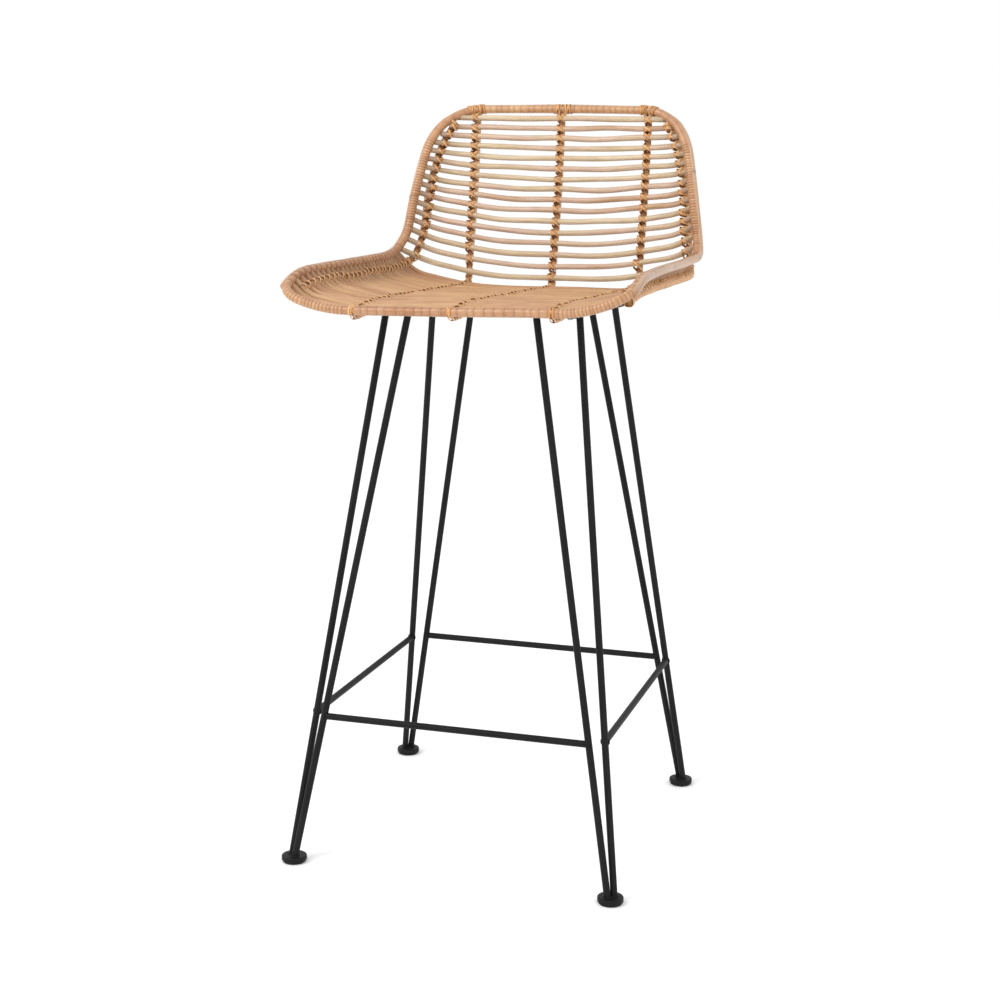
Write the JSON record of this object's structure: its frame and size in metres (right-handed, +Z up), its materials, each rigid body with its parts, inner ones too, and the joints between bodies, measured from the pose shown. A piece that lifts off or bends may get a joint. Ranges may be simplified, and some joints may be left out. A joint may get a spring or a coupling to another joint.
{
  "type": "bar stool",
  "caption": "Bar stool with a woven rattan shell seat, a low curved back and side rims, on splayed black steel-rod legs with a rung footrest on each side.",
  "frame": {"origin": "on the floor, under the middle of the object's plan, midway between the left and right feet", "axes": "+Z up, +X to the sitter's left hand seen from the front (the viewer's right), -Y towards the open front edge of the seat"},
  "size_m": [0.431, 0.4991, 0.9175],
  "materials": {
    "black_steel": "matte black powder coat on round steel rod",
    "screw_steel": "zinc-plated pan-head screws",
    "glide_plastic": "moulded black floor glide",
    "rattan_pole": "peeled rattan pole, honey stain, satin lacquer",
    "rattan_reed": "round rattan reed, pale straw to warm tan, satin lacquer",
    "cane_wrap": "rattan skin strips wound and laced, orange tan, satin"
  },
  "bodies": {
    "root": {"foot_disc_front_left": "black_steel", "glide_front_left": "glide_plastic", "foot_disc_front_right": "black_steel", "glide_front_right": "glide_plastic", "foot_disc_back_left": "black_steel", "glide_back_left": "glide_plastic", "foot_disc_back_right": "black_steel", "glide_back_right": "glide_plastic", "front_rod_front_left": "black_steel", "front_rod_front_right": "black_steel", "back_rod_back_left": "black_steel", "back_rod_back_right": "black_steel", "side_rod_front_left": "black_steel", "side_rod_front_right": "black_steel", "side_rod_back_left": "black_steel", "side_rod_back_right": "black_steel", "front_rung": "black_steel", "back_rung": "black_steel", "left_rung": "black_steel", "right_rung": "black_steel", "frame_bar_front": "black_steel", "frame_bar_back": "black_steel", "frame_bar_left": "black_steel", "frame_bar_right": "black_steel", "frame_screws": "screw_steel", "rim_pole": "rattan_pole", "centre_rib": "cane_wrap", "inner_rib_left": "cane_wrap", "inner_rib_right": "cane_wrap", "outer_rib_left": "cane_wrap", "outer_rib_right": "cane_wrap", "back_reed_01": "rattan_reed", "back_reed_02": "rattan_reed", "back_reed_03": "rattan_reed", "back_reed_04": "rattan_reed", "back_reed_05": "rattan_reed", "back_reed_06": "rattan_reed", "back_reed_07": "rattan_reed", "back_reed_08": "rattan_reed", "back_reed_09": "rattan_reed", "back_reed_10": "rattan_reed", "back_reed_11": "rattan_reed", "back_reed_12": "rattan_reed", "back_reed_13": "rattan_reed", "back_reed_14": "rattan_reed", "back_reed_15": "rattan_reed", "back_reed_16": "rattan_reed", "seat_reeds_1": "rattan_reed", "seat_reeds_2": "rattan_reed", "seat_reeds_3": "rattan_reed", "seat_reeds_4": "rattan_reed", "seat_reeds_5": "rattan_reed", "seat_reeds_6": "rattan_reed", "seat_reeds_7": "rattan_reed", "seat_reeds_8": "rattan_reed"}
  },
  "joints": []
}
